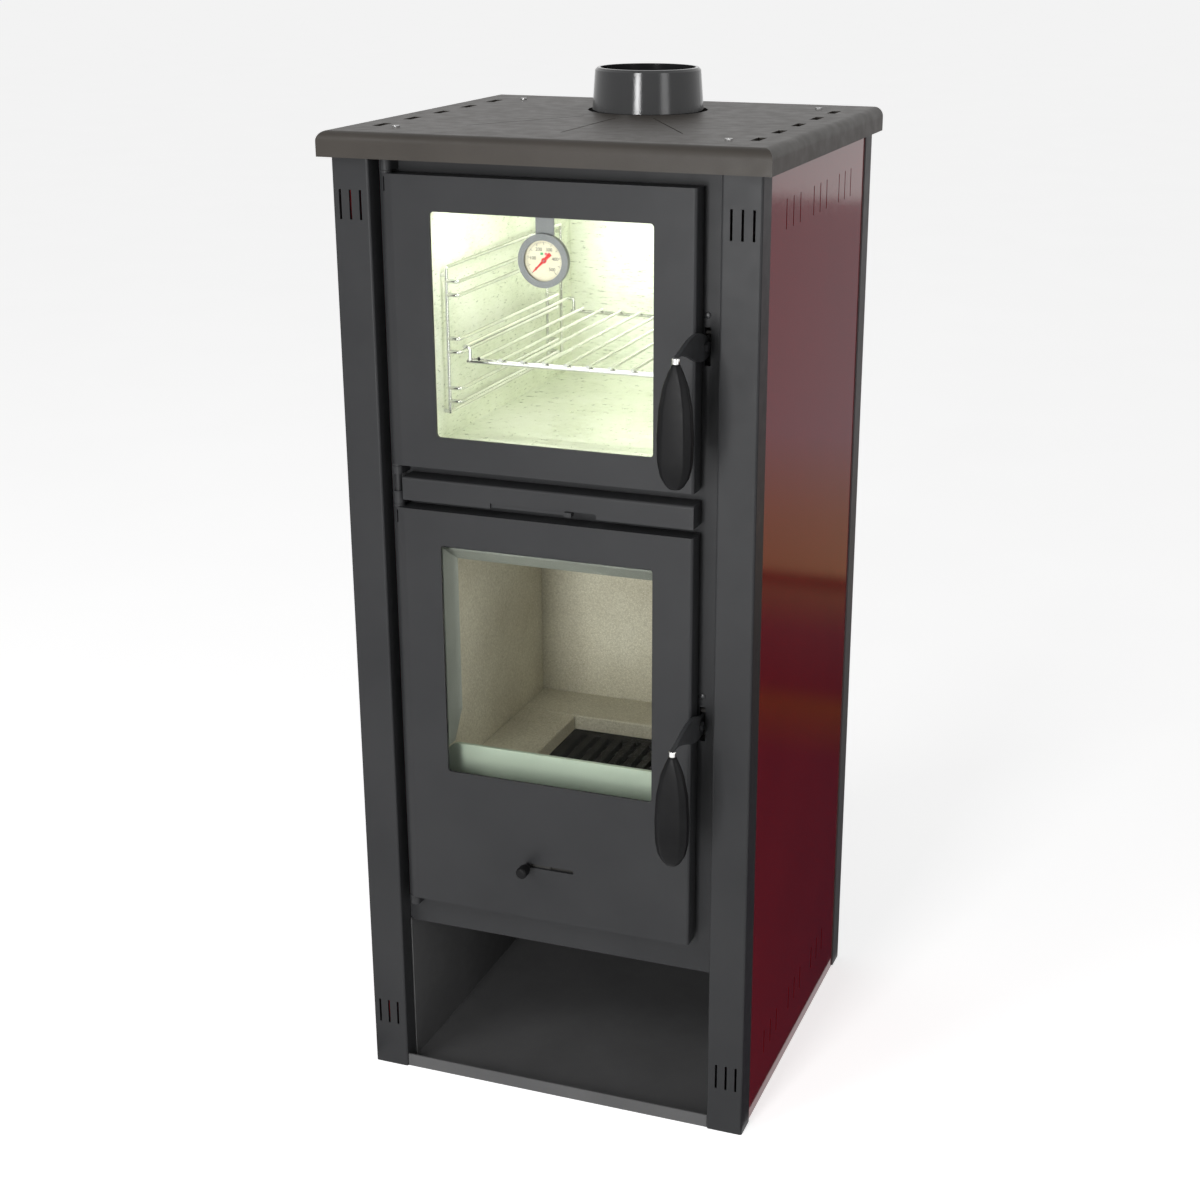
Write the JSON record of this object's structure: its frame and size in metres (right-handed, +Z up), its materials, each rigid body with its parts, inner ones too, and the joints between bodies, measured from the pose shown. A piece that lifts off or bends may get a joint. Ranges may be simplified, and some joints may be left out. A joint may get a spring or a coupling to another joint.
{
  "type": "wood burning stove with oven",
  "caption": "Tall free-standing log stove with a glazed fire door, a glazed baking oven above it, a cook top, a top flue collar and an open storage niche below.",
  "frame": {"origin": "on the floor, at the middle of the body's width and depth", "axes": "+Z up, front with the doors and handles faces -Y, +X to the right of someone facing the front"},
  "size_m": [0.4614, 0.5016, 1.0898],
  "materials": {
    "graphite_paint": "satin heat-proof paint, dark graphite",
    "top_paint": "satin heat-proof paint on the cook top",
    "red_enamel": "glossy dark red enamel",
    "dark_paint": "matt black paint",
    "casing_steel": "black heat-proof paint",
    "fastener_steel": "plain steel",
    "stainless": "bright stainless sheet",
    "wire_chrome": "bright chromed wire",
    "firebrick": "rough sand-coloured firebrick",
    "cast_iron": "rough cast iron",
    "door_glass": "clear ceramic glass",
    "rope_seal": "woven glass-fibre rope",
    "grip_plastic": "near-black heat-proof plastic",
    "thermometer_steel": "bright steel",
    "dial_print": "cream dial with printed scale",
    "needle_red": "red paint"
  },
  "bodies": {
    "stove": {"base_plate": "graphite_paint", "left_column": "graphite_paint", "right_column": "graphite_paint", "left_side_panel": "red_enamel", "right_side_panel": "red_enamel", "back_panel": "dark_paint", "panel_screws": "fastener_steel", "top_plate": "top_paint", "flue_collar": "graphite_paint", "niche_left_wall": "dark_paint", "niche_right_wall": "dark_paint", "niche_ceiling": "dark_paint", "casing_left_wall": "casing_steel", "casing_right_wall": "casing_steel", "casing_back_wall": "casing_steel", "casing_top": "casing_steel", "ash_floor": "casing_steel", "hearth_deck": "casing_steel", "firebox_back_wall": "casing_steel", "front_frame": "graphite_paint", "hinge_pins": "fastener_steel", "latch_pockets": "casing_steel", "fire_throat": "graphite_paint", "firebrick_left": "firebrick", "firebrick_right": "firebrick", "firebrick_back": "firebrick", "hearth_bricks": "firebrick", "baffle_plate": "casing_steel", "fire_grate": "cast_iron", "log_guard": "stainless", "oven_box": "stainless", "left_rack": "wire_chrome", "right_rack": "wire_chrome", "air_cover": "graphite_paint"},
    "oven_door": {"oven_door": "graphite_paint", "oven_door_glass": "door_glass", "oven_glass_clips": "fastener_steel", "oven_door_seal": "rope_seal", "oven_handle_pivot": "fastener_steel", "thermometer_case": "thermometer_steel", "thermometer_dial": "dial_print", "thermometer_lens": "door_glass"},
    "fire_door": {"fire_door": "graphite_paint", "fire_door_glass": "door_glass", "fire_glass_clips": "fastener_steel", "fire_door_seal": "rope_seal", "fire_handle_pivot": "fastener_steel", "fire_door_deflector": "casing_steel"},
    "oven_handle": {"oven_handle_arm": "graphite_paint", "oven_handle_ferrule": "wire_chrome", "oven_handle_grip": "grip_plastic"},
    "fire_handle": {"fire_handle_arm": "graphite_paint", "fire_handle_ferrule": "wire_chrome", "fire_handle_grip": "grip_plastic"},
    "oven_shelf": {"oven_shelf": "wire_chrome"},
    "ash_drawer": {"ash_drawer": "casing_steel"},
    "secondary_air": {"secondary_air_slider": "graphite_paint"},
    "primary_air": {"primary_air_slider": "casing_steel", "primary_air_knob": "grip_plastic"},
    "thermometer_needle": {"thermometer_needle": "needle_red"}
  },
  "joints": [
    {"name": "oven_door_hinge", "type": "hinge", "parent": "stove", "child": "oven_door", "pos_m": [-0.164, -0.2035, 0.861], "axis": [0, 0, -1], "range_deg": [0, 110]},
    {"name": "fire_door_hinge", "type": "hinge", "parent": "stove", "child": "fire_door", "pos_m": [-0.164, -0.2035, 0.446], "axis": [0, 0, -1], "range_deg": [0, 110]},
    {"name": "oven_handle_lift", "type": "hinge", "parent": "oven_door", "child": "oven_handle", "pos_m": [0.1615, -0.199, 0.858], "axis": [-1, 0, 0], "range_deg": [0, 60]},
    {"name": "fire_handle_lift", "type": "hinge", "parent": "fire_door", "child": "fire_handle", "pos_m": [0.1615, -0.199, 0.4682], "axis": [-1, 0, 0], "range_deg": [0, 60]},
    {"name": "oven_shelf_slide", "type": "slide", "parent": "stove", "child": "oven_shelf", "axis": [0, -1, 0], "range_m": [0, 0.195]},
    {"name": "ash_drawer_slide", "type": "slide", "parent": "stove", "child": "ash_drawer", "axis": [0, -1, 0], "range_m": [0, 0.195]},
    {"name": "secondary_air_slide", "type": "slide", "parent": "stove", "child": "secondary_air", "axis": [1, 0, 0], "range_m": [0, 0.025]},
    {"name": "primary_air_slide", "type": "slide", "parent": "fire_door", "child": "primary_air", "axis": [1, 0, 0], "range_m": [0, 0.048]},
    {"name": "thermometer_needle_turn", "type": "hinge", "parent": "oven_door", "child": "thermometer_needle", "pos_m": [0, -0.201, 0.9305], "axis": [0, 1, 0], "range_deg": [0, 270], "stiffness_Nm_per_rad": 0.0005}
  ],
  "couplings": [
    {"joint": "oven_shelf_slide", "follows": "oven_door_hinge", "m_per_rad": 0.1},
    {"joint": "ash_drawer_slide", "follows": "fire_door_hinge", "m_per_rad": 0.1}
  ]
}
